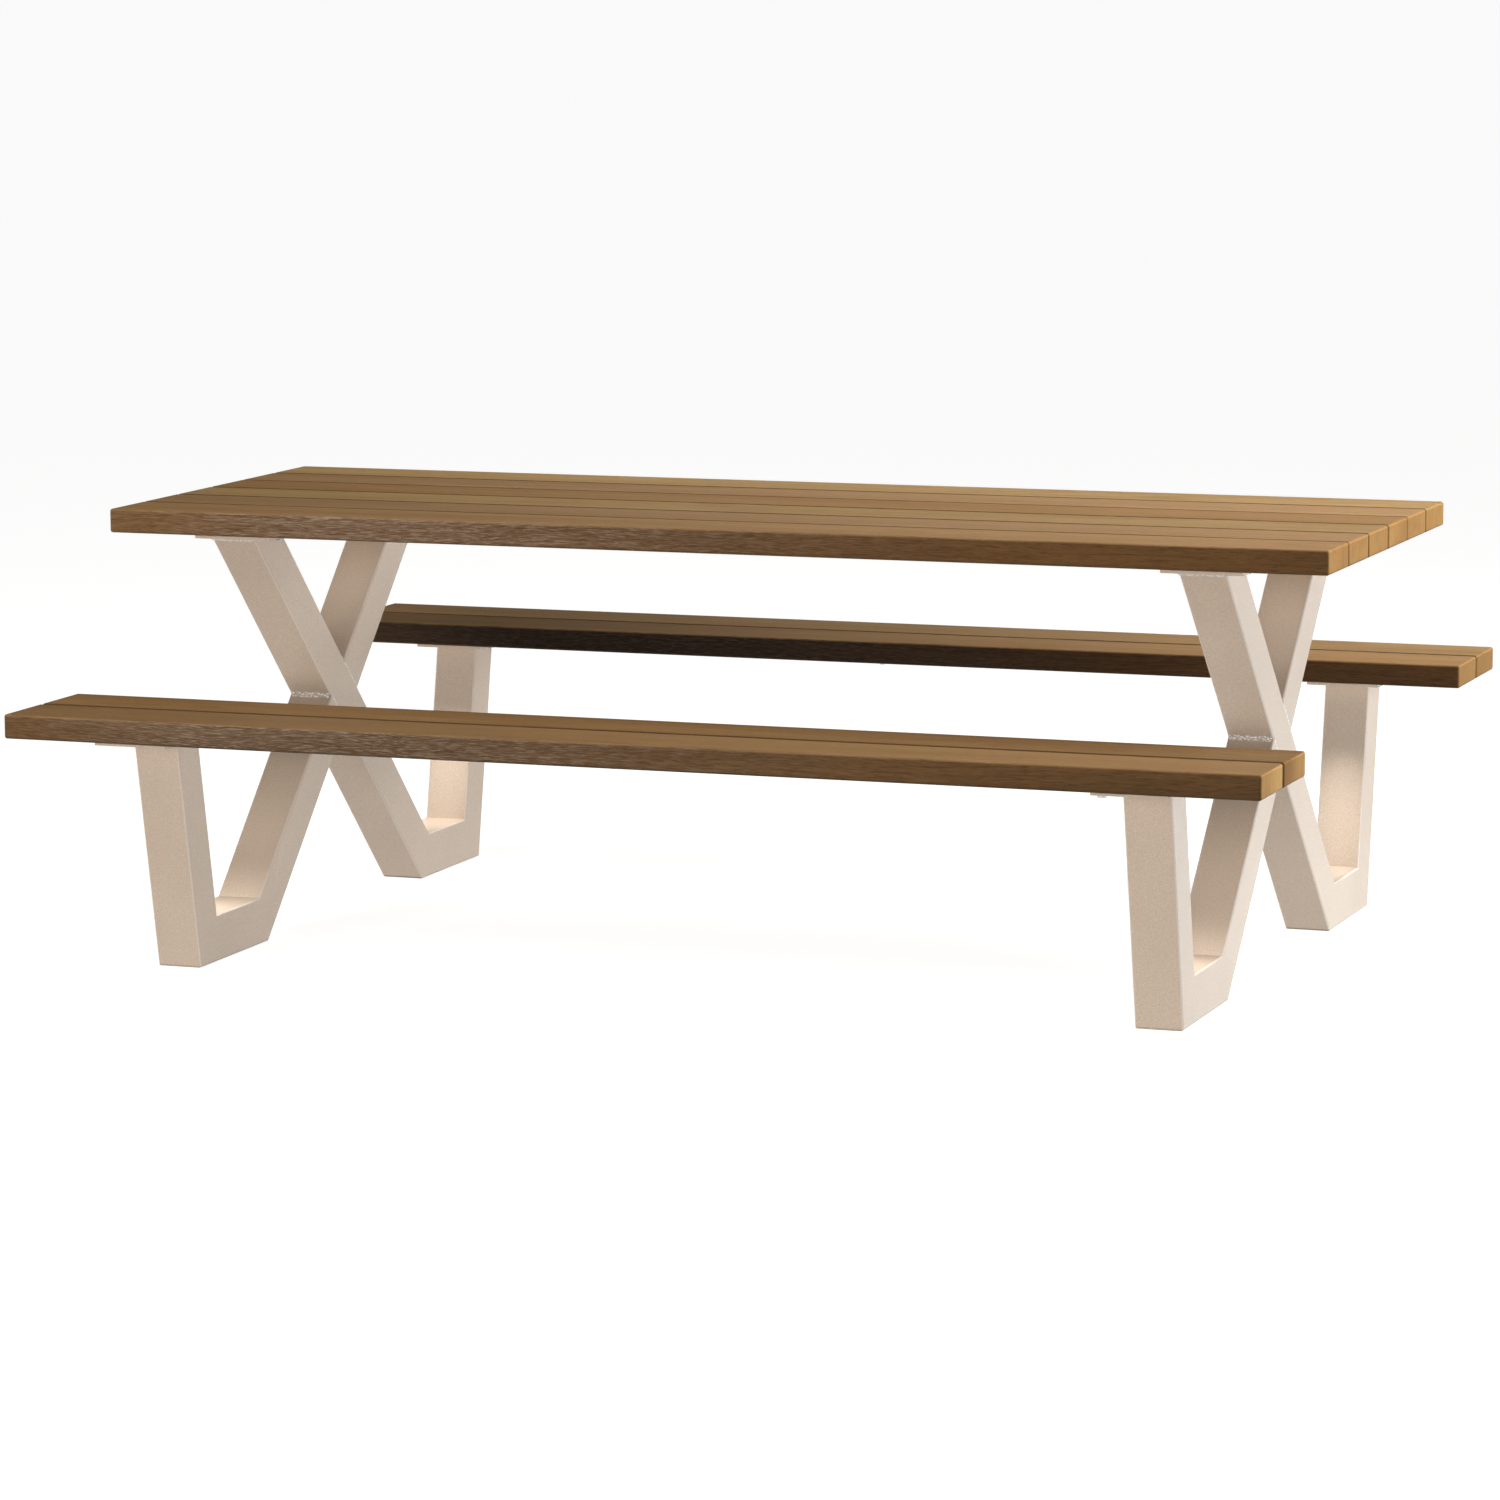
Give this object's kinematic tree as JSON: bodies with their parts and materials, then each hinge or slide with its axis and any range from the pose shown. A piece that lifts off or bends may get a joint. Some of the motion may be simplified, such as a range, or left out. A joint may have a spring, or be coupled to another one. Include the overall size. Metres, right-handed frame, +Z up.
{
  "type": "picnic table",
  "caption": "Picnic table with two attached benches: hardwood plank top and seats on two welded X-shaped frames of square steel tube.",
  "frame": {"origin": "on the floor, at the middle of the table", "axes": "+X along the table's length, +Y across it towards the rear bench, +Z up"},
  "size_m": [2.15, 1.6118, 0.75],
  "materials": {
    "oiled_hardwood": "oiled, satin",
    "beige_powder_coat": "fine-textured matt powder coat",
    "zinc_plated_fasteners": "zinc plated",
    "brass_inserts": "plain"
  },
  "bodies": {
    "root": {"front_bench_batten": "beige_powder_coat", "front_bench_batten_screws": "zinc_plated_fasteners", "front_bench_bolts": "zinc_plated_fasteners", "front_bench_inserts": "brass_inserts", "front_bench_plank_inner": "oiled_hardwood", "front_bench_plank_outer": "oiled_hardwood", "front_bench_washers": "zinc_plated_fasteners", "left_crossing_welds": "beige_powder_coat", "left_front_bench_plate": "beige_powder_coat", "left_front_bench_post": "beige_powder_coat", "left_front_foot": "beige_powder_coat", "left_lower_half_leg": "beige_powder_coat", "left_plate_welds": "beige_powder_coat", "left_rear_bench_plate": "beige_powder_coat", "left_rear_bench_post": "beige_powder_coat", "left_rear_foot": "beige_powder_coat", "left_table_plate": "beige_powder_coat", "left_through_leg": "beige_powder_coat", "left_upper_half_leg": "beige_powder_coat", "rear_bench_batten": "beige_powder_coat", "rear_bench_batten_screws": "zinc_plated_fasteners", "rear_bench_bolts": "zinc_plated_fasteners", "rear_bench_inserts": "brass_inserts", "rear_bench_plank_inner": "oiled_hardwood", "rear_bench_plank_outer": "oiled_hardwood", "rear_bench_washers": "zinc_plated_fasteners", "right_crossing_welds": "beige_powder_coat", "right_front_bench_plate": "beige_powder_coat", "right_front_bench_post": "beige_powder_coat", "right_front_foot": "beige_powder_coat", "right_lower_half_leg": "beige_powder_coat", "right_plate_welds": "beige_powder_coat", "right_rear_bench_plate": "beige_powder_coat", "right_rear_bench_post": "beige_powder_coat", "right_rear_foot": "beige_powder_coat", "right_table_plate": "beige_powder_coat", "right_through_leg": "beige_powder_coat", "right_upper_half_leg": "beige_powder_coat", "table_batten": "beige_powder_coat", "table_batten_screws": "zinc_plated_fasteners", "table_bolts": "zinc_plated_fasteners", "table_inserts": "brass_inserts", "table_plank_1": "oiled_hardwood", "table_plank_2": "oiled_hardwood", "table_plank_3": "oiled_hardwood", "table_plank_4": "oiled_hardwood", "table_plank_5": "oiled_hardwood", "table_plank_6": "oiled_hardwood", "table_washers": "zinc_plated_fasteners"}
  },
  "joints": []
}
